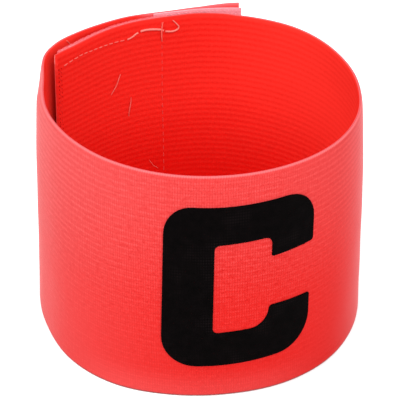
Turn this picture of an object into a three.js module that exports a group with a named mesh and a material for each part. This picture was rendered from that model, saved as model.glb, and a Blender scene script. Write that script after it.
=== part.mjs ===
// A captain's armband of wide red elastic, closed at the back by a hook tape on the outer end and a
// loop tape on the inner end, with a plain black block letter on the front.
// Millimetres, +Z up. The band stands on its lower edge, centred on the origin, with the letter
// facing -Y. Angles are in degrees round the loop from the middle of the letter, counter-clockwise
// as seen from above, and run from the outer end (the flap) through 0 to the inner end.
import * as THREE from 'three';
import { TessellateModifier } from 'three/addons/modifiers/TessellateModifier.js';
import { mergeVertices } from 'three/addons/utils/BufferGeometryUtils.js';

// Elastic strip
const bandWidth = 75;
const loopRadius = 48;
const elasticThickness = 1.2;
const overlapLength = 64.3;
const overlapCentre = 192;

// Tapes between the two layers at the back
const loopTapeLength = 42;
const loopTapeThickness = 1;
const loopTapeEndInset = 0.5;
const hookTapeLength = 28.5;
const hookTapeThickness = 1;
const hookTapeOverhang = 1;
const hookTapeSkew = 0.8;
const tapeTopInset = 0.3;
const tapeBottomInset = 1.5;
const tapeClearance = 0.3;

// Letter
const letterWidth = 44.6;
const letterHeight = 54;
const letterBottom = 10.9;
const letterThickness = 0.4;
const letterClearance = 0.3;

// Corners of the letter, round its outline from its lower left. x: share of half letterWidth to the
// right of the middle. y: share of letterHeight. before and after: how far the rounding reaches
// along the edge before the corner and along the edge after it, in shares of letterHeight.
const letterCorners = [
  { x: -1.036, y: 0.004, before: 0.185, after: 0.195 },
  { x: -0.103, y: 0.006, before: 0.120, after: 0.120 },
  { x: 0.969, y: 0.040, before: 0.187, after: 0.193 },
  { x: 0.969, y: 0.359, before: 0.011, after: 0.011 },
  { x: 0.374, y: 0.357, before: 0.019, after: 0.019 },
  { x: 0.354, y: 0.233, before: 0.105, after: 0.093 },
  { x: -0.359, y: 0.218, before: 0.028, after: 0.028 },
  { x: -0.339, y: 0.773, before: 0.028, after: 0.028 },
  { x: 0.394, y: 0.789, before: 0.043, after: 0.043 },
  { x: 0.392, y: 0.665, before: 0.011, after: 0.011 },
  { x: 1.000, y: 0.686, before: 0.019, after: 0.019 },
  { x: 1.002, y: 1.017, before: 0.178, after: 0.178 },
  { x: -0.314, y: 1.004, before: 0.090, after: 0.090 },
  { x: -0.967, y: 1.011, before: 0.148, after: 0.176 },
];

// Length of a facet along the band, and rows of facets across it
const facetLength = 2.4;
const facetRows = 3;
const letterFacet = 6;

const overlapAngle = THREE.MathUtils.radToDeg(overlapLength / loopRadius);
const innerEnd = overlapCentre + overlapAngle / 2;
const outerEnd = overlapCentre - 360 - overlapAngle / 2;

// From the outer layer's outer face to the inner layer's outer face where both tapes lie between them
const layerStep = elasticThickness + loopTapeThickness + hookTapeThickness + 3 * tapeClearance;

// The two layers at the back. along: -1 below the flap's end, 1 at the inner end. top and bottom:
// outer face of the inner layer at the upper and lower edge, in shares of loopRadius. slackTop and
// slackBottom: what the outer layer stands off further than layerStep, in the same shares.
// rise: how far the flap lifts, in shares of bandWidth.
const overlapRows = [
  { along: -1, top: 1.027, bottom: 1.016, slackTop: 0.040, slackBottom: 0.025, rise: 0.013 },
  { along: -0.82, top: 1.029, bottom: 1.013, slackTop: 0.018, slackBottom: 0.012, rise: 0.009 },
  { along: -0.63, top: 1.025, bottom: 1.009, slackTop: 0.003, slackBottom: 0.006, rise: 0.005 },
  { along: -0.42, top: 1.006, bottom: 1.002, slackTop: 0.001, slackBottom: 0.002, rise: 0.002 },
  { along: -0.21, top: 0.999, bottom: 0.998, slackTop: 0.001, slackBottom: 0.001, rise: 0 },
  { along: 0, top: 0.999, bottom: 0.995, slackTop: 0.002, slackBottom: 0.004, rise: 0 },
  { along: 0.29, top: 0.990, bottom: 0.991, slackTop: 0.010, slackBottom: 0.010, rise: 0 },
  { along: 0.55, top: 0.980, bottom: 0.994, slackTop: 0.027, slackBottom: 0.016, rise: 0 },
  { along: 0.76, top: 0.983, bottom: 1.008, slackTop: 0.031, slackBottom: 0.010, rise: 0 },
  { along: 1, top: 1.014, bottom: 1.038, slackTop: -0.021, slackBottom: -0.012, rise: 0 },
];

// The outer layer past the inner end, where it comes in to the single layer. along: 0 at the inner
// end, 1 at the first row of singleRows. step: share of layerStep that is left. belly: how far the
// face bulges outwards at two thirds of its height, in shares of loopRadius.
const settleRows = [
  { along: 0.15, top: 0.982, bottom: 1.028, belly: 0, step: 0.7 },
  { along: 0.28, top: 0.972, bottom: 1.025, belly: 0, step: 0.45 },
  { along: 0.41, top: 0.973, bottom: 1.033, belly: 0.004, step: 0.2 },
  { along: 0.57, top: 0.979, bottom: 1.040, belly: 0.009, step: 0 },
  { along: 0.76, top: 0.967, bottom: 1.027, belly: 0.011, step: 0 },
];

// The single layer round the sides and the front, in degrees and shares of loopRadius
const singleRows = [
  { angle: -84, top: 0.957, bottom: 1.017, belly: 0.010 },
  { angle: -64, top: 0.965, bottom: 1.031, belly: 0.006 },
  { angle: -44, top: 0.991, bottom: 1.033, belly: 0.001 },
  { angle: -24, top: 1.014, bottom: 1.010, belly: 0 },
  { angle: -4, top: 1.025, bottom: 1.002, belly: 0 },
  { angle: 16, top: 1.027, bottom: 1.015, belly: 0 },
  { angle: 36, top: 1.019, bottom: 1.021, belly: 0.003 },
  { angle: 56, top: 0.996, bottom: 1.017, belly: 0.010 },
  { angle: 76, top: 0.973, bottom: 1.023, belly: 0.014 },
  { angle: 96, top: 0.977, bottom: 1.029, belly: 0.010 },
  { angle: 116, top: 0.998, bottom: 1.029, belly: 0.003 },
  { angle: 134, top: 1.014, bottom: 1.023, belly: 0 },
];

const stations = [];
function addStation(angle, top, bottom, { belly = 0, rise = 0 } = {}) {
  stations.push({ angle, top, bottom, belly: belly * loopRadius, rise: rise * bandWidth });
}

for (const row of overlapRows) {
  addStation(
    overlapCentre - 360 + row.along * overlapAngle / 2,
    loopRadius * (row.top + row.slackTop) + layerStep,
    loopRadius * (row.bottom + row.slackBottom) + layerStep,
    { rise: row.rise },
  );
}
const settleStart = innerEnd - 360;
for (const row of settleRows) {
  addStation(
    THREE.MathUtils.lerp(settleStart, singleRows[0].angle, row.along),
    loopRadius * row.top + layerStep * row.step,
    loopRadius * row.bottom + layerStep * row.step,
    { belly: row.belly },
  );
}
for (const row of singleRows) {
  addStation(row.angle, loopRadius * row.top, loopRadius * row.bottom, { belly: row.belly });
}
for (const row of overlapRows) {
  addStation(overlapCentre + row.along * overlapAngle / 2, loopRadius * row.top, loopRadius * row.bottom);
}

const course = new THREE.CubicInterpolant(
  stations.map((station) => station.angle),
  stations.flatMap((station) => [station.top, station.bottom, station.belly, station.rise]),
  4,
);

// 0 at both edges of the strip and 1 at two thirds of its height
const bellyShape = (share) => 6.75 * share * share * (1 - share);

// Point of the strip's outer face, at a height above its own lower edge
function outerFace(angle, height) {
  const [top, bottom, belly, rise] = course.evaluate(angle);
  const share = height / bandWidth;
  const radius = THREE.MathUtils.lerp(bottom, top, share) + Math.max(belly, 0) * bellyShape(share);
  const turn = THREE.MathUtils.degToRad(angle - 90);
  return new THREE.Vector3(radius * Math.cos(turn), radius * Math.sin(turn), height + Math.max(rise, 0));
}

// The same point moved outwards, square to the face as seen from above
function facePoint(angle, height, offset) {
  const sideStep = 0.5;
  const along = outerFace(angle + sideStep, height).sub(outerFace(angle - sideStep, height));
  const outward = new THREE.Vector3(along.y, -along.x, 0).normalize();
  return outerFace(angle, height).addScaledVector(outward, offset);
}

const arcAngle = (length, angle) =>
  THREE.MathUtils.radToDeg(length / outerFace(angle, bandWidth / 2).setZ(0).length());

// A closed panel that follows the strip from one angle to another, between two offsets from its
// outer face; lower and upper give its edges' heights at each angle
function panelGeometry({ from, to, inside, outside, lower, upper }) {
  const columns = Math.ceil(THREE.MathUtils.degToRad(to - from) * loopRadius / facetLength);
  const ring = 2 * (facetRows + 1);
  const positions = [];
  for (let column = 0; column <= columns; column += 1) {
    const angle = THREE.MathUtils.lerp(from, to, column / columns);
    for (const offset of [outside, inside]) {
      for (let row = 0; row <= facetRows; row += 1) {
        const share = offset === outside ? row / facetRows : 1 - row / facetRows;
        const height = THREE.MathUtils.lerp(lower(angle), upper(angle), share);
        positions.push(...facePoint(angle, height, offset).toArray());
      }
    }
  }
  const index = [];
  const quad = (a, b, c, d) => index.push(a, b, c, a, c, d);
  for (let column = 0; column < columns; column += 1) {
    for (let k = 0; k < ring; k += 1) {
      const next = (k + 1) % ring;
      const here = column * ring;
      const there = here + ring;
      quad(here + k, there + k, there + next, here + next);
    }
  }
  const last = columns * ring;
  for (let row = 0; row < facetRows; row += 1) {
    const opposite = ring - 1 - row;
    quad(row, row + 1, opposite - 1, opposite);
    quad(last + row, last + opposite, last + opposite - 1, last + row + 1);
  }
  const geometry = new THREE.BufferGeometry();
  geometry.setAttribute('position', new THREE.Float32BufferAttribute(positions, 3));
  geometry.setIndex(index);
  geometry.computeVertexNormals();
  return geometry;
}

// Closed outline through corners, each rounded along both of its edges
const arcPull = 0.5523;
function letterShape() {
  const shape = new THREE.Shape();
  const corners = letterCorners.map(({ x, y, before, after }) => ({
    at: new THREE.Vector2(x * letterWidth / 2, y * letterHeight),
    before: before * letterHeight,
    after: after * letterHeight,
  }));
  corners.forEach(({ at, before, after }, i) => {
    const reach = (other, length) => other.at.clone().sub(at).setLength(length).add(at);
    const arrive = reach(corners.at(i - 1), before);
    const leave = reach(corners[(i + 1) % corners.length], after);
    if (i === 0) shape.moveTo(arrive.x, arrive.y);
    else shape.lineTo(arrive.x, arrive.y);
    const [pullIn, pullOut] = [arrive, leave].map((end) => end.clone().lerp(at, arcPull));
    shape.bezierCurveTo(pullIn.x, pullIn.y, pullOut.x, pullOut.y, leave.x, leave.y);
  });
  shape.closePath();
  return shape;
}

// The letter is cut flat, divided into small facets and bent on to the front of the band
function letterGeometry() {
  const flat = new THREE.ExtrudeGeometry(letterShape(), {
    depth: letterThickness, bevelEnabled: false, curveSegments: 6,
  });
  const bent = new TessellateModifier(letterFacet, 12).modify(flat);
  const position = bent.getAttribute('position');
  for (let i = 0; i < position.count; i += 1) {
    const angle = arcAngle(position.getX(i), 0);
    const offset = letterClearance + position.getZ(i);
    const point = facePoint(angle, letterBottom + position.getY(i), offset);
    position.setXYZ(i, point.x, point.y, point.z);
  }
  bent.deleteAttribute('normal');
  bent.deleteAttribute('uv');
  const merged = mergeVertices(bent, 1e-4);
  merged.computeVertexNormals();
  return merged;
}

const materials = {
  elastic: new THREE.MeshStandardMaterial({ color: 0xf4444a, roughness: 0.85, metalness: 0 }),
  loopTape: new THREE.MeshStandardMaterial({ color: 0xf7858f, roughness: 0.95, metalness: 0 }),
  hookTape: new THREE.MeshStandardMaterial({ color: 0xf7909a, roughness: 0.7, metalness: 0 }),
  flock: new THREE.MeshStandardMaterial({ color: 0x0c0809, roughness: 0.95, metalness: 0 }),
};

const armband = new THREE.Group();
const addPiece = (name, geometry, material) => {
  const mesh = new THREE.Mesh(geometry, material);
  mesh.name = name;
  armband.add(mesh);
};

addPiece('elastic_band', panelGeometry({
  from: outerEnd,
  to: innerEnd,
  inside: -elasticThickness,
  outside: 0,
  lower: () => 0,
  upper: () => bandWidth,
}), materials.elastic);

// On the outer face of the inner end
const loopTapeOutside = tapeClearance + loopTapeThickness;
const loopTapeFar = innerEnd - arcAngle(loopTapeEndInset, innerEnd);
addPiece('loop_strip', panelGeometry({
  from: loopTapeFar - arcAngle(loopTapeLength, innerEnd),
  to: loopTapeFar,
  inside: tapeClearance,
  outside: loopTapeOutside,
  lower: () => tapeBottomInset,
  upper: () => bandWidth - tapeTopInset,
}), materials.loopTape);

// On the inner face of the flap, a little past its end; sewn skew, so that the elastic's margin
// above the tape widens towards the end
const hookTapeFrom = outerEnd - arcAngle(hookTapeOverhang, outerEnd);
const hookTapeTo = hookTapeFrom + arcAngle(hookTapeLength, outerEnd);
const hookTapeDrop = (angle) => hookTapeSkew * THREE.MathUtils.clamp(
  (hookTapeTo - angle) / (hookTapeTo - hookTapeFrom), 0, 1,
);
addPiece('hook_strip', panelGeometry({
  from: hookTapeFrom,
  to: hookTapeTo,
  inside: -elasticThickness - tapeClearance - hookTapeThickness,
  outside: -elasticThickness - tapeClearance,
  lower: (angle) => tapeBottomInset + hookTapeSkew - hookTapeDrop(angle),
  upper: (angle) => bandWidth - tapeTopInset - hookTapeDrop(angle),
}), materials.hookTape);

addPiece('letter_mark', letterGeometry(), materials.flock);

// The course isn't quite round, so the whole is centred by its box
const middle = new THREE.Box3().setFromObject(armband).getCenter(new THREE.Vector3());
armband.position.set(-middle.x, -middle.y, 0);

export default armband;
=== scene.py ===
import math

import bmesh
import bpy
import numpy as np
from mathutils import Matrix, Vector
from mathutils.kdtree import KDTree


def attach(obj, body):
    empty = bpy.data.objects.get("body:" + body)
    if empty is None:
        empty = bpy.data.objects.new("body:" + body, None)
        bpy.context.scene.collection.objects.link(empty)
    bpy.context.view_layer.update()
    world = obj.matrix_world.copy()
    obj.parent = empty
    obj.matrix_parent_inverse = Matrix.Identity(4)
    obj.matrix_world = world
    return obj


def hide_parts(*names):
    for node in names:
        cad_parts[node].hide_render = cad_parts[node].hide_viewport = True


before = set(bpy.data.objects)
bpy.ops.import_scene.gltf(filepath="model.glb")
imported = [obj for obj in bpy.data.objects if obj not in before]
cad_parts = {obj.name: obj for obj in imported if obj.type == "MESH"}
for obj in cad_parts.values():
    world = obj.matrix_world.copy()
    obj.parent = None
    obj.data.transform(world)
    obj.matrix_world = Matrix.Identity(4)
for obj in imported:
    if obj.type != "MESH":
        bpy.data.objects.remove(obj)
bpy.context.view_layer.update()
rng = np.random.default_rng(11)

# Sizes are in metres and angles in degrees round the loop from the middle of the letter, as in
# the CAD model: counter-clockwise seen from above, from the flap's end to the inner end.
MM = 0.001
BAND_WIDTH = 75 * MM
BAND_THICKNESS = 1.2 * MM
LOOP_RADIUS = 48 * MM
OVERLAP_LENGTH = 64.3 * MM
OVERLAP_CENTRE = 192
half_overlap = math.degrees(OVERLAP_LENGTH / LOOP_RADIUS) / 2
INNER_END = OVERLAP_CENTRE + half_overlap
FLAP_END = OVERLAP_CENTRE - 360 - half_overlap


# Camera and light

def camera_at_photo_angle():
    target = Vector((0, -1.25 * MM, 37.5 * MM))
    elevation = math.radians(32.37)
    sideways = math.radians(256.4)
    distance = 552.4 * MM
    away = Vector((
        math.cos(elevation) * math.cos(sideways),
        math.cos(elevation) * math.sin(sideways),
        math.sin(elevation),
    ))
    turn = (-away).to_track_quat("-Z", "Y")
    data = bpy.data.cameras.new("photo_camera")
    data.sensor_width = 36
    data.lens = 165.4
    data.clip_start = 0.01
    camera = bpy.data.objects.new("photo_camera", data)
    bpy.context.scene.collection.objects.link(camera)
    camera.rotation_mode = "QUATERNION"
    camera.rotation_quaternion = turn
    nudge = turn @ Vector((-0.15 * MM, -0.63 * MM, 0))
    camera.location = target + away * distance + nudge
    bpy.context.scene.camera = camera


def area_light(name, place, aim, size, power):
    data = bpy.data.lights.new(name, "AREA")
    data.shape = "RECTANGLE"
    data.size, data.size_y = size
    data.energy = power
    light = bpy.data.objects.new(name, data)
    bpy.context.scene.collection.objects.link(light)
    light.location = place
    light.rotation_euler = (Vector(aim) - Vector(place)).to_track_quat("-Z", "Y").to_euler()


camera_at_photo_angle()
middle = (0, 0, BAND_WIDTH / 2)
area_light("softbox_front", place=(0.0, -0.85, 0.85), aim=middle, size=(1.0, 1.0), power=11.7)
area_light("softbox_left", place=(-0.75, 0.0, 1.0), aim=middle, size=(0.6, 0.6), power=8)
area_light("softbox_above", place=(0.1, 0.1, 1.2), aim=middle, size=(0.8, 0.8), power=3.9)

world = bpy.data.worlds.new("studio")
bpy.context.scene.world = world
world.use_nodes = True
sky = world.node_tree.nodes["Background"].inputs
sky["Color"].default_value = (1, 1, 1, 1)
sky["Strength"].default_value = 0.86
bpy.context.scene.view_settings.view_transform = "Standard"


# The strip's course, read from the CAD solid

# A face whose normal is at least this steep is an edge of the strip, and a border that turns by
# more than this cosine has a corner there.
LEVEL_FACE = 0.9
CORNER_COSINE = 0.5


def strip_borders(bm, up):
    """Outer and inner border of the strip's upper (1) or lower (-1) edge, from the flap's end."""
    edge_faces = {face for face in bm.faces if face.normal.z * up > LEVEL_FACE}
    links = {}
    for edge in bm.edges:
        if sum(face in edge_faces for face in edge.link_faces) == 1:
            a, b = edge.verts
            links.setdefault(a, []).append(b)
            links.setdefault(b, []).append(a)
    ring = [next(iter(links))]
    ring.append(links[ring[0]][0])
    while ring[-1] is not ring[0]:
        ring.append(next(v for v in links[ring[-1]] if v is not ring[-2]))
    points = np.array([v.co[:] for v in ring[:-1]])
    way = np.roll(points, -1, 0) - points
    way /= np.linalg.norm(way, axis=1)[:, None]
    corners = np.flatnonzero(np.einsum("ij,ij->i", way, np.roll(way, 1, 0)) < CORNER_COSINE)
    points = np.roll(points, -corners[0], 0)
    corners = corners - corners[0]
    closed = np.vstack([points, points[:1]])
    stops = [*corners[1:], len(points)]
    runs = sorted((closed[a:b + 1] for a, b in zip(corners, stops)), key=len)[-2:]
    sweep = [np.sum(run[:-1, 0] * run[1:, 1] - run[:-1, 1] * run[1:, 0]) for run in runs]
    runs = [run if s > 0 else run[::-1] for run, s in zip(runs, sweep)]
    reach = [np.linalg.norm(np.diff(run, axis=0), axis=1).sum() for run in runs]
    outer = int(reach[1] > reach[0])
    return runs[outer], runs[1 - outer]


def strip_rows(mesh):
    """Rows of points along the strip's outer and inner face, from its lower to its upper edge."""
    bm = bmesh.new()
    bm.from_mesh(mesh)
    bmesh.ops.remove_doubles(bm, verts=bm.verts, dist=1e-6)
    bm.normal_update()
    low, top = strip_borders(bm, -1), strip_borders(bm, 1)
    tree = KDTree(len(bm.verts))
    for vertex in bm.verts:
        tree.insert(vertex.co, vertex.index)
    tree.balance()
    same_wall = 0.9 * BAND_THICKNESS
    faces = []
    for low_line, top_line, pick in zip(low, top, (max, min)):
        rows = [low_line]
        for share in (1 / 3, 2 / 3):
            between = low_line * (1 - share) + top_line * share
            rows.append(np.array([
                pick(tree.find_range(point, same_wall), key=lambda hit: hit[0].xy.length)[0][:]
                for point in between
            ]))
        rows.append(top_line)
        faces.append(np.array(rows))
    bm.free()
    return faces


def along_rows(rows, share):
    """Smooth points of all rows at a share of their length, from 0 to 1 and a little past both."""
    before = 3 * rows[:, 0] - 3 * rows[:, 1] + rows[:, 2]
    after = 3 * rows[:, -1] - 3 * rows[:, -2] + rows[:, -3]
    rows = np.concatenate([before[:, None], rows, after[:, None]], axis=1)
    last = rows.shape[1] - 1
    place = 1 + np.asarray(share) * (last - 2)
    i = np.clip(np.floor(place).astype(int), 0, last - 1)
    f = (place - i)[..., None]
    p0, p1, p2, p3 = (rows[:, np.clip(i + k, 0, last)] for k in (-1, 0, 1, 2))
    return 0.5 * (
        2 * p1 + (p2 - p0) * f + (2 * p0 - 5 * p1 + 4 * p2 - p3) * f ** 2
        + (3 * p1 - p0 - 3 * p2 + p3) * f ** 3
    )


def across_rows(points, up):
    """Point between the four rows, at a share of the strip's width."""
    stops = (0, 1 / 3, 2 / 3, 1)
    total = 0
    for k, stop in enumerate(stops):
        weight = 1.0
        for other in stops:
            if other != stop:
                weight = weight * (up - other) / (stop - other)
        total = total + points[k] * weight[..., None]
    return total


outer_rows, inner_rows = strip_rows(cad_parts["elastic_band"].data)


def face_point(angle, height, offset):
    """Point off the strip's outer face: height above its lower edge, offset outwards."""
    angle, height, offset = np.broadcast_arrays(angle, height, offset)
    share = (angle - FLAP_END) / (INNER_END - FLAP_END)
    up = height / BAND_WIDTH
    outer = across_rows(along_rows(outer_rows, share), up)
    inner = across_rows(along_rows(inner_rows, share), up)
    outward = outer - inner
    outward /= np.linalg.norm(outward, axis=-1)[..., None]
    return outer + outward * offset[..., None]


# Length along the middle of the strip, from the flap's end
fine_angles = np.linspace(FLAP_END - 2, INNER_END + 2, 3000)
fine_line = face_point(fine_angles, BAND_WIDTH / 2, 0)
fine_length = np.concatenate([[0], np.cumsum(np.linalg.norm(np.diff(fine_line, axis=0), axis=1))])
fine_length -= np.interp(FLAP_END, fine_angles, fine_length)
STRIP_LENGTH = float(np.interp(INNER_END, fine_angles, fine_length))


def length_at(angle):
    return np.interp(angle, fine_angles, fine_length)


def angle_at(length):
    return np.interp(length, fine_length, fine_angles)


# Helpers for meshes

def make_piece(name, points, faces, material, sharp=50):
    mesh = bpy.data.meshes.new(name)
    mesh.from_pydata([tuple(p) for p in points], [], [tuple(f) for f in faces])
    mesh.validate()
    mesh.polygons.foreach_set("use_smooth", [True] * len(mesh.polygons))
    mesh.set_sharp_from_angle(angle=math.radians(sharp))
    mesh.materials.append(material)
    mesh.update()
    piece = bpy.data.objects.new(name, mesh)
    bpy.context.scene.collection.objects.link(piece)
    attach(piece, "root")
    return piece


def set_cloth(piece, values):
    """Cloth coordinates for the material: length along, height, side."""
    attribute = piece.data.attributes.new("cloth", "FLOAT_VECTOR", "POINT")
    attribute.data.foreach_set("vector", np.asarray(values, dtype=np.float32).ravel())


def grid_faces(rows, columns, wrap=False, start=0):
    """Quads of a grid of points in rows x columns; with wrap the last column joins the first."""
    faces = []
    for r in range(rows - 1):
        for c in range(columns if wrap else columns - 1):
            d = (c + 1) % columns
            here, there = start + r * columns, start + (r + 1) * columns
            faces.append((here + c, there + c, there + d, here + d))
    return faces


class Parts:
    """Gathers many small tubes into one mesh."""

    def __init__(self):
        self.points = []
        self.faces = []

    def tube(self, line, radii, sides):
        line = np.asarray(line, dtype=float)
        radii = np.broadcast_to(radii, len(line))
        way = np.gradient(line, axis=0)
        way /= np.maximum(np.linalg.norm(way, axis=1), 1e-12)[:, None]
        helper = np.array([0.31, 0.17, 0.94]) if abs(way[0][2]) < 0.9 else np.array([1.0, 0.1, 0])
        start = len(self.points)
        turns = np.linspace(0, 2 * math.pi, sides, endpoint=False)
        for point, direction, radius in zip(line, way, radii):
            side = np.cross(direction, helper)
            side /= np.linalg.norm(side)
            other = np.cross(direction, side)
            for t in turns:
                self.points.append(point + radius * (math.cos(t) * side + math.sin(t) * other))
        self.faces += grid_faces(len(line), sides, wrap=True, start=start)
        self.faces.append(tuple(start + k for k in range(sides)))
        end = start + (len(line) - 1) * sides
        self.faces.append(tuple(end + k for k in reversed(range(sides))))

    def piece(self, name, material, slot_name):
        return make_piece(name, self.points, self.faces, material, sharp=70)


# Helpers for materials

class Nodes:
    """Short way to write a node tree."""

    def __init__(self, name):
        self.material = bpy.data.materials.new(name)
        self.material.use_nodes = True
        self.tree = self.material.node_tree
        self.shader = self.tree.nodes["Principled BSDF"]

    def put(self, socket, value):
        if isinstance(value, bpy.types.NodeSocket):
            self.tree.links.new(value, socket)
        elif isinstance(value, tuple) and len(value) == 3 and socket.type == "RGBA":
            socket.default_value = (*value, 1)
        else:
            socket.default_value = value

    def math(self, operation, a, b=0.5, c=0.5, clamp=False):
        node = self.tree.nodes.new("ShaderNodeMath")
        node.operation = operation
        node.use_clamp = clamp
        for socket, value in zip(node.inputs, (a, b, c)):
            self.put(socket, value)
        return node.outputs[0]

    def scaled(self, value, factor, plus=0.0, clamp=False):
        """value times factor, plus something."""
        return self.math("MULTIPLY_ADD", value, factor, plus, clamp)

    def product(self, first, *others):
        for value in others:
            first = self.math("MULTIPLY", first, value)
        return first

    def less(self, value, whole=1.0):
        """What the value leaves of the whole."""
        return self.math("SUBTRACT", whole, value)

    def cloth(self):
        """Length along the strip, height, and side from -1, inside, to 1, outside."""
        node = self.tree.nodes.new("ShaderNodeAttribute")
        node.attribute_name = "cloth"
        split = self.tree.nodes.new("ShaderNodeSeparateXYZ")
        self.put(split.inputs[0], node.outputs["Vector"])
        return split.outputs[0], split.outputs[1], split.outputs[2]

    def join(self, x, y):
        node = self.tree.nodes.new("ShaderNodeCombineXYZ")
        for socket, value in zip(node.inputs, (x, y, 0.0)):
            self.put(socket, value)
        return node.outputs[0]

    def place(self):
        """Place on the object, in metres."""
        return self.tree.nodes.new("ShaderNodeTexCoord").outputs["Object"]

    def noise(self, vector, scale, detail=2.0, roughness=0.5):
        """Noise around 0.5, with about scale lumps to the metre."""
        node = self.tree.nodes.new("ShaderNodeTexNoise")
        self.put(node.inputs["Vector"], vector)
        self.put(node.inputs["Scale"], scale)
        self.put(node.inputs["Detail"], detail)
        self.put(node.inputs["Roughness"], roughness)
        return node.outputs["Fac"]

    def wave(self, value, pitch, phase=0.0):
        """0 to 1 and back over each pitch."""
        turned = self.math("MULTIPLY_ADD", value, 2 * math.pi / pitch, phase)
        return self.math("MULTIPLY_ADD", self.math("SINE", turned), 0.5, 0.5)

    def ramp(self, value, low, high):
        """0 up to low and 1 from high on, with a smooth step between them."""
        node = self.tree.nodes.new("ShaderNodeMapRange")
        node.interpolation_type = "SMOOTHSTEP"
        for socket, v in zip(node.inputs, (value, low, high, 0.0, 1.0)):
            self.put(socket, v)
        return node.outputs[0]

    def fall(self, value, low, high):
        """1 up to low and 0 from high on."""
        return self.less(self.ramp(value, low, high))

    def mix(self, share, a, b):
        node = self.tree.nodes.new("ShaderNodeMix")
        node.data_type = "RGBA"
        colour_a, colour_b = node.inputs[6], node.inputs[7]
        self.put(node.inputs["Factor"], share)
        self.put(colour_a, a)
        self.put(colour_b, b)
        return node.outputs[2]

    def bump(self, height, distance, strength):
        node = self.tree.nodes.new("ShaderNodeBump")
        self.put(node.inputs["Strength"], strength)
        self.put(node.inputs["Distance"], distance)
        self.put(node.inputs["Height"], height)
        self.put(self.shader.inputs["Normal"], node.outputs[0])

    def finish(self, colour, roughness, sheen=0.0, sheen_roughness=0.5, tint=(1, 1, 1), specular=0.0):
        self.put(self.shader.inputs["Base Color"], colour)
        self.put(self.shader.inputs["Roughness"], roughness)
        self.put(self.shader.inputs["Sheen Weight"], sheen)
        self.put(self.shader.inputs["Sheen Roughness"], sheen_roughness)
        self.put(self.shader.inputs["Sheen Tint"], tint)
        self.put(self.shader.inputs["Specular IOR Level"], specular)
        return self.material


RIB_PITCH = 1.875 * MM
WALE_PITCH = 0.72 * MM

DEEP_CORAL = (0.38, 0.005, 0.005)
CORAL = (0.53, 0.014, 0.011)
PALE_CORAL = (0.56, 0.075, 0.075)
DEEP_RED = (0.62, 0.006, 0.004)
RED = (0.80, 0.034, 0.024)
RIM_PINK = (0.62, 0.115, 0.12)
BACK_PINK = (0.62, 0.12, 0.135)
ROSE = (0.72, 0.060, 0.100)
DASH_RED = (0.45, 0.028, 0.028)
DULL_PINK = (0.42, 0.065, 0.075)
PAINTED_CONTACT_SHADOW = (0.12, 0.022, 0.018)
CORE_PINK = (0.74, 0.22, 0.20)
CUT_PINK = (0.80, 0.25, 0.23)
LOOP_PINK = (0.75, 0.105, 0.12)
HOOK_PINK = (0.82, 0.255, 0.295)
GREY_PINK = (0.60, 0.33, 0.38)
PALE_THREAD = (0.78, 0.20, 0.165)
DASH_THREAD = (0.77, 0.125, 0.10)
SEAM_THREAD = (0.74, 0.046, 0.037)
RED_THREAD = (0.66, 0.020, 0.017)
FLOCK_BLACK = (0.0005, 0.0003, 0.0003)
FLOCK_SOFT = (0.0019, 0.0011, 0.0012)
FLOCK_WORN = (0.0075, 0.0048, 0.0052)
HOLE_DARK = (0.34, 0.002, 0.002)
HOLE_RED = (0.44, 0.004, 0.004)
FLOOR_WHITE = (0.94, 0.94, 0.94)
FLOOR_GREY = (0.92, 0.92, 0.92)

# Where the tone of the elastic changes: spans of length from the flap's end. The left side of the
# band lies near 100 mm, the middle of the letter near 178 mm and the right side near 256 mm.
# Many of these spans place painted light and shade: painted sheen on the left and right of the outer
# face, painted light on the far inner wall and beside the gap between the layers, painted shade inside
# towards the inner end, and painted shade on the rim under the flap.
FLAP_ENDS = (28 * MM, 34 * MM)
GAP_BEGINS = (54 * MM, 62 * MM)
GAP_ENDS = (66 * MM, 98 * MM)
LEFT_ENDS = (105 * MM, 178 * MM)
FRONT_BEGINS = (122 * MM, 152 * MM)
FRONT_ENDS = (185 * MM, 214 * MM)
RIGHT_ROWS_BEGIN = (186 * MM, 216 * MM)
RIGHT_BEGINS = (212 * MM, 262 * MM)
RIGHT_ENDS = (250 * MM, 300 * MM)
FAR_WALL_BEGINS = (215 * MM, 260 * MM)
FAR_WALL_ENDS = (280 * MM, 322 * MM)
DOUBLED_BEGINS = (305 * MM, 335 * MM)
UNDER_FLAP_BEGINS = (STRIP_LENGTH - 66 * MM, STRIP_LENGTH - 62 * MM)


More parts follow.
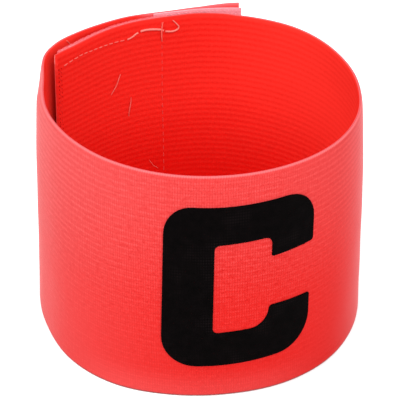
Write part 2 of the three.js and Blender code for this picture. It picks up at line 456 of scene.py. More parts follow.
class ElasticNodes(Nodes):
    """Woven elastic: a fine knit outside and round ribs inside, with a tone that drifts along it and
    carries painted light and shade.
    """

    def __init__(self, name):
        super().__init__(name)
        self.along, self.height, self.side = self.cloth()
        # Shares, from 0 to 1, of the parts of the band that differ in tone; the left and right shares
        # also place painted light and sheen
        self.outside = self.ramp(self.side, -0.3, 0.3)
        self.inside = self.less(self.outside)
        self.upper = self.product(self.ramp(self.height, 20 * MM, 60 * MM), self.outside)
        self.crisp = self.ramp(self.height, 8 * MM, 0.75 * BAND_WIDTH)
        self.left = self.fall(self.along, *LEFT_ENDS)
        self.right = self.ramp(self.along, *RIGHT_BEGINS)
        self.right_rows = self.ramp(self.along, *RIGHT_ROWS_BEGIN)
        # Patterns
        self.flat = self.join(self.along, self.height)
        self.grain = self.noise(self.flat, 1100)
        self.fibres = self.noise(self.drawn_out(0.25), 2600, 3, 0.6)

    def drawn_out(self, share):
        """Flat place whose pattern is drawn out along the strip."""
        return self.join(self.product(self.along, share), self.height)

    def add_knit(self):
        """The knit: wales across rows of two pitches, broken up in places and calmer on the right."""
        wander = self.scaled(self.noise(self.flat, 90), 0.5 * MM, self.along)
        sway = self.scaled(self.noise(self.flat, 160), 0.3 * MM, self.height)
        self.wales = self.wave(wander, WALE_PITCH)
        self.full_rows = self.wave(sway, RIB_PITCH, math.pi / 2)
        fine_rows = self.wave(sway, RIB_PITCH / 2, math.pi / 2)
        rows = self.scaled(fine_rows, 0.3, self.scaled(self.full_rows, 0.3, 0.2))
        self.breaks = self.ramp(self.noise(self.drawn_out(0.5), 900), 0.3, 0.62)
        weave = self.product(self.wales, self.breaks)
        calm = self.product(self.less(weave, 0.4), self.product(self.right_rows, 0.75))
        self.knit = self.product(rows, self.scaled(self.math("ADD", weave, calm), 0.8, 0.2))

    def light_share(self):
        """Share of the light tone over the deep one, with painted light and shade laid into it."""
        ribs = self.less(self.wave(self.height, RIB_PITCH, math.pi / 2))
        patches = self.noise(self.drawn_out(0.5), 32, 3)
        outer = self.scaled(self.knit, 0.6, self.scaled(self.grain, 0.45, 0.06))
        inner = self.scaled(ribs, 0.16, self.scaled(self.grain, 0.25, 0.18))
        light = self.math("ADD", self.product(outer, self.outside), self.product(inner, self.inside))
        # Painted shade: the inner face is darker towards its foot.
        painted_shade_low_inside = self.product(self.inside, self.fall(self.height, 0, 0.7 * BAND_WIDTH))
        for share, change in ((painted_shade_low_inside, -0.45), (patches, 0.25), (self.fibres, 0.2)):
            light = self.scaled(share, change, light)
        even = self.product(self.outside, self.less(self.crisp))
        light = self.math("ADD", light, self.product(even, self.less(self.product(light, 0.65), 0.4)))
        # Painted light: the inner face is lighter on the far wall, from the right round towards the
        # back, above its lowest part.
        painted_light_far_wall = self.product(
            self.ramp(self.along, *FAR_WALL_BEGINS), self.fall(self.along, *FAR_WALL_ENDS),
            self.ramp(self.height, 15 * MM, 55 * MM), self.inside,
        )
        # Painted shade: the inner face is a little darker towards the inner end, where the band lies
        # doubled.
        painted_shade_inner_end = self.product(self.ramp(self.along, *DOUBLED_BEGINS), self.inside)
        # Painted light: the inner face of the outer layer is lighter beside the gap between the layers,
        # standing in for light that shines through the elastic.
        gap = self.product(
            self.ramp(self.along, *GAP_BEGINS), self.fall(self.along, *GAP_ENDS), self.inside,
        )
        # Painted light on the outer face: a deeper tone at the upper left, under the painted sheen that
        # pales it there, and a lighter tone on the right.
        for share, change in (
            (painted_light_far_wall, 0.2), (painted_shade_inner_end, -0.07), (gap, 0.35),
            (self.product(self.left, self.upper), -0.2), (self.product(self.right, self.outside), 0.25),
        ):
            light = self.scaled(share, change, light)
        return self.ramp(light, 0.15, 0.95)

    def paler_share(self):
        """Share of the pale tone on the outer face: pale threads, painted sheen towards the top, on the
        left and on the right, and a paler part low at the front.
        """
        threads = self.scaled(self.knit, 0.6, self.scaled(self.grain, 0.4, -0.28))
        pale = self.product(threads, self.scaled(self.crisp, 0.75, 0.25))
        low_front = self.product(
            self.ramp(self.along, *FRONT_BEGINS), self.fall(self.along, *FRONT_ENDS),
            self.fall(self.height, 0, 11 * MM),
        )
        # Painted sheen: the outer face is paler towards the top, on the left and on the right.
        top = self.ramp(self.height, 25 * MM, BAND_WIDTH)
        for share, change in ((top, 0.35), (self.left, 0.45), (low_front, 0.34)):
            pale = self.scaled(share, change, pale)
        return self.scaled(self.right, 0.4, pale, clamp=True)

    def face_colour(self):
        light = self.light_share()
        inner, outer = self.mix(light, DEEP_RED, RED), self.mix(light, DEEP_CORAL, CORAL)
        ground = self.mix(self.outside, inner, outer)
        ground = self.mix(self.product(self.outside, self.paler_share()), ground, PALE_CORAL)
        dashes = self.fall(self.full_rows, 0.05, 0.45)
        dashes = self.product(dashes, self.math("MAXIMUM", self.breaks, self.right_rows))
        sides = self.product(self.math("MAXIMUM", self.left, self.right_rows), self.upper)
        ground = self.mix(self.product(sides, dashes, 0.45), ground, DASH_RED)
        # Painted sheen: the outer face is rosier on the right side.
        rosy_sheen = self.product(self.right, self.fall(self.along, *RIGHT_ENDS), self.outside)
        return self.mix(self.product(rosy_sheen, 0.22), ground, ROSE)

    def add_edges(self, ground):
        """Pale woven edges with a painted sheen on their rounded rim, a broader pale margin at the top
        of the flap, and a painted contact shadow as a dark line at the foot.
        """
        from_top = self.less(self.height, BAND_WIDTH)
        from_edge = self.math("MINIMUM", self.height, from_top)
        margin = self.product(
            self.fall(from_top, 0.3 * MM, 1.8 * MM), self.fall(self.along, *FLAP_ENDS), 0.7,
        )
        ground = self.mix(margin, ground, BACK_PINK)
        ticks = self.wave(self.along, WALE_PITCH)
        border = self.fall(from_edge, 0.3 * MM, 1.0 * MM)
        self.border = self.product(border, self.outside, ticks, 0.5)
        ground = self.mix(self.border, ground, RIM_PINK)
        # Painted sheen: the rounded rim is paler, with a duller pink on its crown; it stays off the
        # inner face, and is mostly left out under the flap, where the flap shades the edge and the tape
        # rubs it.
        rim = self.product(self.fall(from_edge, 0.25 * MM, 0.6 * MM), self.scaled(ticks, 0.3, 0.7))
        under_flap = self.product(self.ramp(self.along, *UNDER_FLAP_BEGINS), 0.8)
        rim = self.product(rim, self.less(under_flap), self.ramp(self.side, -1.0, -0.6))
        rim_sheen_tone = self.mix(self.ramp(self.math("ABSOLUTE", self.side), 0.25, 0.6), DULL_PINK, RIM_PINK)
        ground = self.mix(rim, ground, rim_sheen_tone)
        # Painted contact shadow: a dark line along the foot, where the band stands on the floor.
        foot = self.fall(self.height, 0.25 * MM, 0.85 * MM)
        return self.mix(self.product(foot, 0.8), ground, PAINTED_CONTACT_SHADOW)


def elastic_material(name, sheen, specular):
    n = ElasticNodes(name)
    n.add_knit()
    colour = n.add_edges(n.face_colour())
    relief = n.scaled(n.product(n.knit, n.outside), 0.9, n.product(n.fibres, 0.5))
    relief = n.scaled(n.product(n.wales, n.inside), 0.08, relief)
    n.bump(n.scaled(n.border, 0.8, relief), 0.08 * MM, 0.8)
    return n.finish(colour, 0.85, sheen, 0.3, (1, 0.85, 0.87), specular)


def tape_material(name, colour, dots):
    """Brushed tape in the given colour, with greyish dots where it has picked up dust."""
    n = Nodes(name)
    place = n.place()
    fuzz = n.noise(place, 3200, 3, 0.65)
    clumps = n.noise(place, 700)
    dust = n.noise(place, 120)
    pile = n.scaled(clumps, 0.5, n.product(fuzz, 0.5))
    dark = tuple(0.8 * c for c in colour)
    tone = n.mix(n.ramp(pile, 0.25, 0.7), dark, colour)
    tone = n.mix(n.product(n.ramp(dust, 0.45, 0.7), dots), tone, GREY_PINK)
    n.bump(pile, 0.2 * MM, 0.7)
    return n.finish(tone, 0.9, sheen=0.4, tint=(1, 0.9, 0.92), specular=0.2)


def cut_material():
    """The cut ends of the strip: ends of the rubber cores between red yarns, and a pale outer face."""
    n = Nodes("cut_elastic")
    place = n.place()
    _, height, side = n.cloth()
    cores = n.noise(place, 900)
    fuzz = n.noise(place, 4200, 3, 0.7)
    tone = n.mix(n.product(n.ramp(cores, 0.45, 0.65), 0.15), RED, CORE_PINK)
    tone = n.mix(n.product(fuzz, 0.4), tone, DEEP_RED)
    top = n.ramp(height, BAND_WIDTH - 4.2 * MM, BAND_WIDTH - 3 * MM)
    pale = n.product(n.ramp(side, 0.35, 0.75), n.scaled(top, 0.6, 0.3))
    tone = n.mix(pale, tone, CUT_PINK)
    n.bump(fuzz, 0.15 * MM, 0.8)
    return n.finish(tone, 0.9, specular=0.05)


def thread_material(name, colour, shine):
    """Twisted thread; shine is both its sheen and its gloss."""
    n = Nodes(name)
    twist = n.noise(n.place(), 4000)
    dark = tuple(0.75 * c for c in colour)
    tone = n.mix(n.ramp(twist, 0.3, 0.7), dark, colour)
    n.bump(twist, 0.05 * MM, 0.6)
    return n.finish(tone, 0.6, shine, 0.4, (1, 0.9, 0.9), shine)


def flock_material():
    """Black flock: short pile with a soft nap, and the knit below it where it is worn thin."""
    n = Nodes("black_flock")
    along, height, _ = n.cloth()
    place = n.place()
    under = n.product(n.wave(height, RIB_PITCH / 2), n.wave(along, WALE_PITCH))
    pile = n.noise(place, 5200, 3, 0.7)
    nap = n.noise(place, 420, 3, 0.6)
    wear = n.noise(place, 130)
    fluff = n.scaled(nap, 0.55, n.product(pile, 0.45))
    tone = n.mix(n.ramp(fluff, 0.3, 0.75), FLOCK_BLACK, FLOCK_SOFT)
    tone = n.mix(n.product(n.ramp(wear, 0.5, 0.75), under, 0.8), tone, FLOCK_WORN)
    n.bump(n.scaled(under, 0.3, fluff), 0.12 * MM, 0.8)
    return n.finish(tone, 0.95, specular=0.03)


# Painted shade: the needle holes are dark discs on the inner face, standing in for the shade inside
# them.
def hole_material():
    n = Nodes("needle_hole")
    tone = n.mix(n.noise(n.place(), 2500), HOLE_DARK, HOLE_RED)
    return n.finish(tone, 0.95)


elastic = elastic_material("woven_elastic", sheen=0.22, specular=0.05)
elastic_inside = elastic_material("woven_elastic_inside", sheen=0.0, specular=0.0)
cut_elastic = cut_material()
loop_tape = tape_material("brushed_loop_tape", LOOP_PINK, dots=0.15)
hook_tape = tape_material("hook_tape", HOOK_PINK, dots=0.2)
pale_thread = thread_material("pale_thread", PALE_THREAD, shine=0.3)
dash_thread = thread_material("dash_thread", DASH_THREAD, shine=0.2)
seam_thread = thread_material("seam_thread", SEAM_THREAD, shine=0.2)
red_thread = thread_material("red_thread", RED_THREAD, shine=0.03)
flock = flock_material()
needle_hole = hole_material()


# Elastic strip: ribbed on both faces, with rounded woven edges

COLUMNS = 160
ROWS_PER_RIB = 6
SELVEDGE_THICKNESS = 0.7 * MM
SELVEDGE_WIDTH = 2.2 * MM
EDGE_RADIUS = SELVEDGE_THICKNESS / 2
EDGE_STEPS = 5
INNER_RELIEF = 0.03 * MM
OUTER_RELIEF = 0.06 * MM
SWELL = 0.4 * MM
CURL = 1.15 * MM
RIGHT_LIFT = 0.5 * MM
RIGHT_LIFT_MIDDLE = 290 * MM
RIGHT_LIFT_REACH = 14 * MM
# A face lies inside where the sides of its two columns add up to less than this
INNER_SIDES = -0.7


def rib_depth(height, outside):
    """How far the face lies under its crests: a round rib inside, two finer ones over it outside."""
    phase = math.pi * height / RIB_PITCH
    if outside:
        crest = 0.35 * np.abs(np.sin(phase)) + 0.65 * np.abs(np.sin(2 * phase))
        return OUTER_RELIEF * (1 - crest)
    return INNER_RELIEF * (1 - np.abs(np.sin(phase)) ** 0.8)


def strip_profile():
    """Height, offset and side of the points round the strip's section, outer face first."""
    rows = int(round((BAND_WIDTH - 2 * EDGE_RADIUS) / RIB_PITCH * ROWS_PER_RIB))
    heights = np.linspace(EDGE_RADIUS, BAND_WIDTH - EDGE_RADIUS, rows + 1)
    inland = np.clip(np.minimum(heights, BAND_WIDTH - heights) / SELVEDGE_WIDTH, 0, 1)
    thinning = (BAND_THICKNESS - SELVEDGE_THICKNESS) / 2 * (1 - inland) ** 2
    fade = np.clip(inland * 2 - 0.4, 0, 1)
    outer = -rib_depth(heights, True) * fade - thinning
    inner = rib_depth(heights, False) * fade + thinning - BAND_THICKNESS
    core = -BAND_THICKNESS / 2
    bends = np.linspace(0, math.pi, EDGE_STEPS + 2)[1:-1]
    bulge = EDGE_RADIUS * (1 - np.sin(bends))
    across = np.cos(bends)
    around = np.concatenate
    return np.stack([
        around([heights, BAND_WIDTH - bulge, heights[::-1], bulge]),
        around([outer, core + EDGE_RADIUS * across, inner[::-1], core - EDGE_RADIUS * across]),
        around([np.ones(rows + 1), across, -np.ones(rows + 1), -across]),
    ], axis=1)


def soft_noise(length, height, size, seed):
    """Smooth noise of about -1 to 1 over the strip, from a few seeded waves."""
    waves = np.random.default_rng(seed)
    total = 0
    for _ in range(7):
        angle = waves.uniform(0, 2 * math.pi)
        pace = 2 * math.pi / (size * waves.uniform(0.6, 1.8))
        phase = waves.uniform(0, 2 * math.pi)
        total = total + np.sin(pace * (length * math.cos(angle) + height * math.sin(angle)) + phase)
    return total / 4


def flap_wave(length):
    """Rise of the flap's upper edge: it sags a little over the tape and lifts at its end."""
    stops = np.array([0, 4, 12, 22, 36, 400]) * MM
    rises = np.array([0.35, 0.25, -0.35, -0.40, 0, 0]) * MM
    return np.interp(length, stops, rises)


def right_lift(length):
    """Rise of the upper edge at the back right."""
    return RIGHT_LIFT * np.exp(-((length - RIGHT_LIFT_MIDDLE) / RIGHT_LIFT_REACH) ** 2)


def hump(value, middle, reach):
    """1 at the middle and 0 from its reach on, rounded at both."""
    return np.cos(math.pi / 2 * np.clip((value - middle) / reach, -1, 1)) ** 2


def left_lean(length, share):
    """Where the outer layer goes on alone the wall swells a little and its upper edge curls in."""
    angle = angle_at(length)
    swell = hump(angle, -112, 32)
    lean = hump(angle, -106, 24)
    rise = np.clip((share - 0.45) / 0.4, 0, 1)
    curl = np.clip((share - 0.94) / 0.06, 0, 1) ** 1.3
    return SWELL * swell * rise ** 2 * (3 - 2 * rise) - CURL * lean * curl


def strip_points(length, height, offset):
    """The strip's points, with its soft unevenness and its rise and lean at the upper edge."""
    share = height / BAND_WIDTH
    inland = np.clip(np.minimum(height, BAND_WIDTH - height) / (4 * MM), 0, 1)
    lift = 0.10 * MM * soft_noise(length, height, 40 * MM, 3) * inland
    lift = lift + (flap_wave(length) + right_lift(length)) * share ** 3
    offset = offset + 0.05 * MM * soft_noise(length, height, 25 * MM, 5) * inland
    return face_point(angle_at(length), height + lift, offset + left_lean(length, share))


def cut_faces(ring):
    """Faces that close one end of the strip, between its outer and its inner points."""
    rows = ring // 2 - EDGE_STEPS
    inner_low = 2 * rows + EDGE_STEPS - 1
    faces = [(k, k + 1, inner_low - k - 1, inner_low - k) for k in range(rows - 1)]
    faces.append(tuple(range(rows - 1, rows + EDGE_STEPS + 1)))
    faces.append((*range(inner_low, ring), 0))
    return faces


def build_elastic():
    profile = strip_profile()
    ring = len(profile)
    lengths = np.linspace(0, STRIP_LENGTH, COLUMNS + 1)
    length, height = np.meshgrid(lengths, profile[:, 0], indexing="ij")
    offset = np.broadcast_to(profile[:, 1], length.shape)
    side = np.broadcast_to(profile[:, 2], length.shape)
    points = strip_points(length, height, offset).reshape(-1, 3)
    cut = cut_faces(ring)
    last = COLUMNS * ring
    faces = grid_faces(len(lengths), ring, wrap=True)
    faces += [tuple(reversed(face)) for face in cut]
    faces += [tuple(last + k for k in face) for face in cut]
    piece = make_piece("ribbed_elastic", points, faces, elastic)
    piece.data.materials.append(cut_elastic)
    piece.data.materials.append(elastic_inside)
    sides = side[0]
    inner_faces = {c for c in range(ring) if sides[c] + sides[(c + 1) % ring] < INNER_SIDES}
    for face in piece.data.polygons[:last]:
        if face.index % ring in inner_faces:
            face.material_index = 2
    for face in piece.data.polygons[-2 * len(cut):]:
        face.material_index = 1
    set_cloth(piece, np.stack([length, height, side], -1).reshape(-1, 3))
    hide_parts("elastic_band")
    return piece


band = build_elastic()


# Tapes at the back

TAPE_TOP = BAND_WIDTH - 0.3 * MM
TAPE_LOW = 1.5 * MM
TAPE_LIFT = 0.03 * MM
TAPE_CELL_LENGTH = 0.8 * MM
TAPE_CELL_HEIGHT = 0.9 * MM
TAPE_EDGE_DROP = 0.3
TAPE_RAGGEDNESS = 0.06 * MM
LOOP_FAR = STRIP_LENGTH - 2.3 * MM
LOOP_NEAR = LOOP_FAR - 41 * MM
LOOP_FACE = 1.05 * MM
FLUFF_COUNT = 420
HOOK_FROM = -1 * MM
HOOK_TO = 27.5 * MM
HOOK_SKEW = 0.8 * MM
HOOK_PITCH = 1.25 * MM
HOOK_MARGIN = 0.6 * MM
HOOK_BASE = -BAND_THICKNESS - TAPE_LIFT
HOOK_FACE = HOOK_BASE - 0.7 * MM


def tape_sheet(length_from, length_to, base, face, lower, upper, roughness, seed):
    """Closed sheet of tape with a rough face, from offset base to offset face of the strip."""
    columns = int((length_to - length_from) / TAPE_CELL_LENGTH)
    rows = int(BAND_WIDTH / TAPE_CELL_HEIGHT)
    lengths = np.linspace(length_from, length_to, columns + 1)
    length, share = np.meshgrid(lengths, np.linspace(0, 1, rows + 1), indexing="ij")
    height = lower(length) * (1 - share) + upper(length) * share
    noise = np.random.default_rng(seed).uniform(-1, 1, length.shape)
    on_edge = np.zeros(length.shape, dtype=bool)
    on_edge[[0, -1]] = True
    on_edge[:, [0, -1]] = True
    rough = face + roughness * noise - TAPE_EDGE_DROP * on_edge * (face - base)
    ragged = TAPE_RAGGEDNESS * np.random.default_rng(seed + 1).uniform(-1, 1, length.shape) * on_edge
    angles = angle_at(length)
    points = np.concatenate([
        face_point(angles, height + ragged, rough).reshape(-1, 3),
        face_point(angles, height, base).reshape(-1, 3),
    ])
    wide = rows + 1
    count = (columns + 1) * wide
    front = grid_faces(columns + 1, wide)
    back = [tuple(count + k for k in reversed(quad)) for quad in front]
    border = [k for k in range(wide)] + [c * wide + rows for c in range(1, columns + 1)]
    border += [columns * wide + r for r in range(rows - 1, -1, -1)]
    border += [c * wide for c in range(columns - 1, 0, -1)]
    rim = [(a, b, count + b, count + a) for a, b in zip(border, border[1:] + border[:1])]
    faces = front + back + rim
    if face < base:
        faces = [tuple(reversed(quad)) for quad in faces]
    return points, faces


def build_loop_tape():
    points, faces = tape_sheet(
        LOOP_NEAR, LOOP_FAR, TAPE_LIFT, LOOP_FACE,
        lambda length: np.full(length.shape, TAPE_LOW),
        lambda length: np.full(length.shape, TAPE_TOP),
        roughness=0.12 * MM, seed=21,
    )
    piece = make_piece("loop_pile", points, faces, loop_tape)
    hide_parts("loop_strip")


def build_loop_fluff():
    """Short loops of yarn that stand up along the tape's upper edge."""
    fluff = Parts()
    turns = np.linspace(0, math.pi, 6)
    for _ in range(FLUFF_COUNT):
        start = rng.uniform(LOOP_NEAR, LOOP_FAR)
        rise = rng.uniform(0.1, 0.3) * MM
        width = rng.uniform(0.25, 0.7) * MM
        depth = rng.uniform(0.1, 1.0) * MM
        line = face_point(
            angle_at(start + width * np.cos(turns)),
            TAPE_TOP - 0.1 * MM + rise * np.sin(turns),
            depth + 0.1 * MM * np.sin(turns),
        )
        fluff.tube(line, 0.035 * MM, 4)
    fluff.piece("loop_pile_fluff", loop_tape, "loop_tape")


def hook_drop(length):
    return HOOK_SKEW * np.clip((HOOK_TO - length) / (HOOK_TO - HOOK_FROM), 0, 1)


def build_hook_tape():
    points, faces = tape_sheet(
        HOOK_FROM, HOOK_TO, HOOK_BASE, HOOK_FACE,
        lambda length: TAPE_LOW + HOOK_SKEW - hook_drop(length),
        lambda length: TAPE_TOP - hook_drop(length),
        roughness=0.02 * MM, seed=31,
    )
    piece = make_piece("hook_base", points, faces, hook_tape)
    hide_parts("hook_strip")


def build_hooks():
    """Rows of small hooks, bent one way and the other in turn."""
    hooks = Parts()
    columns = int((HOOK_TO - HOOK_FROM - 2 * HOOK_MARGIN) / HOOK_PITCH) + 1
    rows = int((BAND_WIDTH - 4.5 * MM) / HOOK_PITCH) + 1
    reach = np.array([0.0, 0.3, 0.5, 0.5]) * MM
    bend = np.array([0.0, 0.02, 0.12, 0.3]) * MM
    for column in range(columns):
        for row in range(rows):
            length = HOOK_FROM + HOOK_MARGIN + column * HOOK_PITCH + rng.uniform(-0.08, 0.08) * MM
            height = TAPE_TOP - 0.5 * MM - hook_drop(length) - row * HOOK_PITCH
            lean = 1 if row % 2 else -1
            line = face_point(angle_at(length + bend * lean), height, HOOK_FACE - reach)
            hooks.tube(line, 0.11 * MM, 4)
    hooks.piece("hook_rows", hook_tape, "hook_tape")


build_loop_tape()
build_loop_fluff()
build_hook_tape()
build_hooks()


# Letter: cut flat in millimetres, narrowed at its shoulder and bent on to the front

LETTER_WIDTH = 44.6
LETTER_HEIGHT = 54
LETTER_SHOULDER = 0.12
LETTER_GRID = 1.6
CURVE_PULL = 0.5523
LETTER_BOTTOM = 10.9 * MM
LETTER_THICKNESS = 0.34 * MM
FRONT_RADIUS = 48.7 * MM

# Corners as in the CAD model: x in shares of half the width, y and the reach of the rounding before
# and after the corner in shares of the height
LETTER_CORNERS = [
    (-1.036, 0.004, 0.185, 0.195), (-0.103, 0.006, 0.120, 0.120), (0.969, 0.040, 0.187, 0.193),
    (0.969, 0.359, 0.011, 0.011), (0.374, 0.357, 0.019, 0.019), (0.354, 0.233, 0.105, 0.093),
    (-0.359, 0.218, 0.028, 0.028), (-0.339, 0.773, 0.028, 0.028), (0.394, 0.789, 0.043, 0.043),
    (0.392, 0.665, 0.011, 0.011), (1.000, 0.686, 0.019, 0.019), (1.002, 1.017, 0.178, 0.178),
    (-0.314, 1.004, 0.090, 0.090), (-0.967, 1.011, 0.148, 0.176),
]


def letter_outline():
    corners = [Vector((x * LETTER_WIDTH / 2, y * LETTER_HEIGHT)) for x, y, _, _ in LETTER_CORNERS]
    outline = []
    for i, (corner, row) in enumerate(zip(corners, LETTER_CORNERS)):
        reach_in, reach_out = (share * LETTER_HEIGHT for share in row[2:])
        arrive = corner + (corners[i - 1] - corner).normalized() * reach_in
        leave = corner + (corners[(i + 1) % len(corners)] - corner).normalized() * reach_out
        pull_in, pull_out = arrive.lerp(corner, CURVE_PULL), leave.lerp(corner, CURVE_PULL)
        for t in np.linspace(0, 1, 10 if reach_in > 3 else 5):
            s = 1 - t
            outline.append(
                arrive * s ** 3 + pull_in * 3 * s * s * t + pull_out * 3 * s * t * t + leave * t ** 3)
    return outline


def flat_letter():
    """The letter as a plate from z 0 to 1, cut into a grid so that it can bend."""
    bm = bmesh.new()
    bm.faces.new([bm.verts.new((p.x, p.y, 0)) for p in letter_outline()])
    for axis, low, high in ((0, -LETTER_WIDTH / 2, LETTER_WIDTH / 2), (1, 0, LETTER_HEIGHT)):
        normal = Vector((1, 0, 0)) if axis == 0 else Vector((0, 1, 0))
        for k in range(1, int((high - low) / LETTER_GRID)):
            bmesh.ops.bisect_plane(
                bm, geom=bm.verts[:] + bm.edges[:] + bm.faces[:], dist=1e-4,
                plane_co=normal * (low + k * LETTER_GRID), plane_no=normal)
    grown = bmesh.ops.extrude_face_region(bm, geom=bm.faces[:])
    raised = [v for v in grown["geom"] if isinstance(v, bmesh.types.BMVert)]
    bmesh.ops.translate(bm, verts=raised, vec=(0, 0, 1))
    bm.normal_update()
    bm.verts.index_update()
    return bm


def narrow_shoulder(bm, points):
    """Draws the upper outline in, so that the letter's edge slopes."""
    for v in bm.verts:
        walls = [f.normal for f in v.link_faces if abs(f.normal.z) < 0.5]
        if v.co.z > 0.5 and walls:
            points[v.index] -= np.array(sum(walls, Vector()).normalized()[:]) * LETTER_SHOULDER


def build_letter():
    bm = flat_letter()
    points = np.array([v.co[:] for v in bm.verts])
    narrow_shoulder(bm, points)
    angles = np.degrees(points[:, 0] * MM / FRONT_RADIUS)
    heights = LETTER_BOTTOM + points[:, 1] * MM
    offsets = np.where(points[:, 2] > 0.5, LETTER_THICKNESS, 0.0)
    # The order of the extruded faces varies from run to run, so they are sorted by their corners.
    faces = sorted([v.index for v in f.verts] for f in bm.faces)
    bm.free()
    bent = face_point(angles, heights, offsets)
    piece = make_piece("flocked_letter", bent, faces, flock, sharp=40)
    set_cloth(piece, np.stack([length_at(angles), heights, np.ones(len(angles))], -1))
    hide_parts("letter_mark")


build_letter()


# Stitches, seam, needle holes and loose threads: paths of (angle, height in millimetres)

INSIDE = -BAND_THICKNESS
TOP_RUN = [(227, 70.2), (219.1, 71.0), (211, 70.6), (203.4, 70.2), (196, 69.9)]
SEAM_RUN = [(181.3, 73.5), (181.3, 60), (181.4, 50), (181.2, 30), (181.1, 3)]
LOW_RUN = [(227, 4.5), (211, 4.3), (196, 4.4), (182.5, 4.5)]
LOOSE_STITCH = [
    (195.5, 69.9), (193.9, 70.2), (191.7, 71.1), (189.3, 71.7), (186, 71.7), (182, 71.2), (179.7, 70.3),
    (177.3, 70.0), (175.4, 70.5), (174.8, 71.4), (175.7, 72.6), (177.0, 73.8),
]
STITCH_POINTS = 20
LOOSE_STITCH_POINTS = 120
LOOSE_STITCH_PARTS = ((0, 24), (28, 72), (75, 120))
# Each with the thread's radius in millimetres
LOOSE_THREADS = [
    ([(198.9, 58.5), (200.0, 57.2), (201.1, 55.5), (202.5, 53.8), (203.6, 52.3)], 0.2),
    ([(194.5, 49.2), (194.8, 47.6), (195.3, 46.0), (195.7, 44.0), (195.5, 42.5)], 0.19),
    ([(187.2, 24.6), (186.4, 23.5), (185.5, 22.3), (184.4, 21.6), (183.6, 20.8)], 0.11),
    ([(180.7, 73.6), (181.4, 71.5), (181.5, 69.0), (181.2, 66.8)], 0.24),
]
EDGE_THREAD = [(-141.4, 74.3), (-142.4, 73.2), (-143.6, 71.8)]
FRAME_LENGTHS = (1.6 * MM, 26 * MM)
ZIGZAG_STEP = 1.4 * MM
ZIGZAG_SIDES = (STRIP_LENGTH - 0.55 * MM, STRIP_LENGTH - 1.75 * MM)
HOLE_RADII = (0.28 * MM, 0.2 * MM)


def smooth_path(points, count):
    """Even points on a smooth curve through a path, with heights in metres, and its length."""
    points = np.asarray(points, dtype=float) * (1, MM)
    curve = along_rows(points[None], np.linspace(0, 1, 600))[0]
    metres = np.array([LOOP_RADIUS * math.pi / 180, 1.0])
    steps = np.linalg.norm(np.diff(curve * metres, axis=0), axis=1)
    walked = np.concatenate([[0], np.cumsum(steps)])
    even = np.linspace(0, walked[-1], count)
    return np.stack([np.interp(even, walked, curve[:, k]) for k in (0, 1)], -1), walked[-1]


def stitch_run(parts, points, stitch, gap, radius, lift, sink, offset=INSIDE):
    """Stitches along a path: each thread comes up, lies on the face and goes down again."""
    _, total = smooth_path(points, 2)
    count = max(2, int(round(total / (stitch + gap))))
    path, _ = smooth_path(points, count * STITCH_POINTS + 1)
    outward = -1 if offset == INSIDE else 1
    used = int(round(STITCH_POINTS * stitch / (stitch + gap)))
    for start in range(0, count * STITCH_POINTS, STITCH_POINTS):
        piece = path[start:start + used + 1:2]
        bulge = np.sin(np.linspace(0, math.pi, len(piece))) ** 0.5
        depth = offset + outward * (lift * bulge - sink * (1 - bulge))
        wobble = rng.normal(0, 0.03 * MM)
        line = face_point(piece[:, 0], piece[:, 1] + wobble, depth)
        parts.tube(line, radius * (0.7 + 0.3 * bulge), 6)


def build_inner_stitches():
    """The pale dashes that hold the top of the loop tape, and the faint seam down the inside."""
    dashes = Parts()
    stitch_run(
        dashes, TOP_RUN, stitch=1.5 * MM, gap=0.6 * MM, radius=0.17 * MM, lift=0.10 * MM, sink=0.05 * MM)
    dashes.piece("tape_stitches", dash_thread, "elastic")
    seam = Parts()
    stitch_run(
        seam, SEAM_RUN, stitch=1.7 * MM, gap=0.9 * MM, radius=0.14 * MM, lift=0.03 * MM, sink=0.05 * MM)
    seam.piece("seam_stitches", seam_thread, "elastic")


def build_loose_stitch():
    """The thick slack stitch that goes on from the dashes and ends in a bow."""
    path, _ = smooth_path(LOOSE_STITCH, LOOSE_STITCH_POINTS)
    height_off = 0.2 * MM + 0.12 * MM * np.abs(np.sin(np.linspace(0, 9, LOOSE_STITCH_POINTS)))
    radii = np.interp(
        np.linspace(0, 1, LOOSE_STITCH_POINTS),
        [0, 0.25, 0.4, 0.55, 0.8, 1], [0.2, 0.3, 0.36, 0.3, 0.26, 0.16],
    ) * MM
    line = face_point(path[:, 0], path[:, 1], INSIDE - height_off)
    loose = Parts()
    for start, end in LOOSE_STITCH_PARTS:
        loose.tube(line[start:end], radii[start:end], 6)
    loose.piece("loose_stitch", pale_thread, "elastic")


def build_matching_stitches():
    """Stitches in the colour of the cloth: low down inside, and a frame on the outside of the flap."""
    matching = Parts()
    stitch_run(
        matching, LOW_RUN, stitch=1.5 * MM, gap=0.8 * MM, radius=0.13 * MM, lift=0.06 * MM,
        sink=0.05 * MM)
    first, last = (float(angle_at(length)) for length in FRAME_LENGTHS)
    corners = [(first, 3.5), (last, 3.5), (last, 71), (first, 70.6), (first, 3.5)]
    for (a0, h0), (a1, h1) in zip(corners, corners[1:]):
        points = [(a0 + (a1 - a0) * t, h0 + (h1 - h0) * t) for t in (0, 0.33, 0.67, 1)]
        stitch_run(
            matching, points, stitch=1.7 * MM, gap=0.8 * MM, radius=0.14 * MM, lift=0.05 * MM,
            sink=0.06 * MM, offset=0.0)
    matching.piece("matching_stitches", red_thread, "elastic")


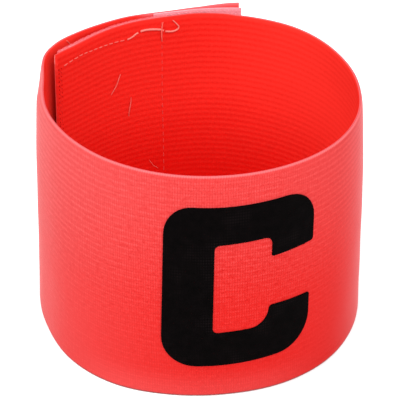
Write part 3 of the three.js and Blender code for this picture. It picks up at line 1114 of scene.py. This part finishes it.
def build_needle_rows():
    """A narrow zigzag that holds the tape at the inner end, and the holes that the needle left, drawn as
    dark discs of painted shade.
    """
    zigzag, holes = Parts(), Parts()
    stops = []
    for k in range(int((BAND_WIDTH - 5 * MM) / ZIGZAG_STEP)):
        length = ZIGZAG_SIDES[k % 2] + rng.normal(0, 0.04) * MM
        height = 2.5 * MM + k * ZIGZAG_STEP + rng.normal(0, 0.05) * MM
        stops.append((float(angle_at(length)), height))
    along = np.linspace(0.08, 0.92, 7)
    bulge = np.sin(np.linspace(0, math.pi, 7)) ** 0.5
    depth = INSIDE - 0.05 * MM * bulge + 0.03 * MM
    for (a0, h0), (a1, h1) in zip(stops, stops[1:]):
        zigzag.tube(face_point(a0 + (a1 - a0) * along, h0 + (h1 - h0) * along, depth), 0.10 * MM, 5)
    # Painted shade: each needle hole is a dark disc that stands just off the inner face.
    for side, radius in zip(ZIGZAG_SIDES, HOLE_RADII):
        for _, height in stops:
            angle = float(angle_at(side + rng.normal(0, 0.04) * MM))
            line = face_point(angle, height, INSIDE + np.array([0.06, -0.015]) * MM)
            holes.tube(line, radius, 8)
    zigzag.piece("zigzag_stitches", red_thread, "elastic")
    holes.piece("needle_holes", needle_hole, "elastic")


def build_loose_threads():
    """Short thread ends that lie on the inside, and one behind the rim at the back left."""
    threads = Parts()
    arch = np.sin(np.linspace(0, math.pi, 30))
    for points, radius in LOOSE_THREADS:
        path, _ = smooth_path(points, 30)
        line = face_point(path[:, 0], path[:, 1], INSIDE - (0.12 + 2.1 * radius * arch) * MM)
        threads.tube(line, radius * MM * (0.55 + 0.45 * arch), 5)
    path, _ = smooth_path(EDGE_THREAD, 16)
    line = face_point(path[:, 0], path[:, 1], INSIDE - 0.2 * MM)
    threads.tube(line, 0.13 * MM, 5)
    threads.piece("loose_threads", dash_thread, "elastic")


build_inner_stitches()
build_loose_stitch()
build_matching_stitches()
build_needle_rows()
build_loose_threads()


# Floor

FLOOR_REACH = 4.0
FLOOR_DROP = 0.05 * MM


def build_floor():
    n = Nodes("studio_floor")
    tone = n.mix(n.noise(n.place(), 4), FLOOR_GREY, FLOOR_WHITE)
    material = n.finish(tone, 0.9, specular=0.1)
    mesh = bpy.data.meshes.new("floor")
    corners = [(x * FLOOR_REACH, y * FLOOR_REACH, 0) for x, y in ((-1, -1), (1, -1), (1, 1), (-1, 1))]
    mesh.from_pydata(corners, [], [(0, 1, 2, 3)])
    mesh.materials.append(material)
    floor = bpy.data.objects.new("floor", mesh)
    bpy.context.scene.collection.objects.link(floor)
    floor.location.z = -FLOOR_DROP


build_floor()
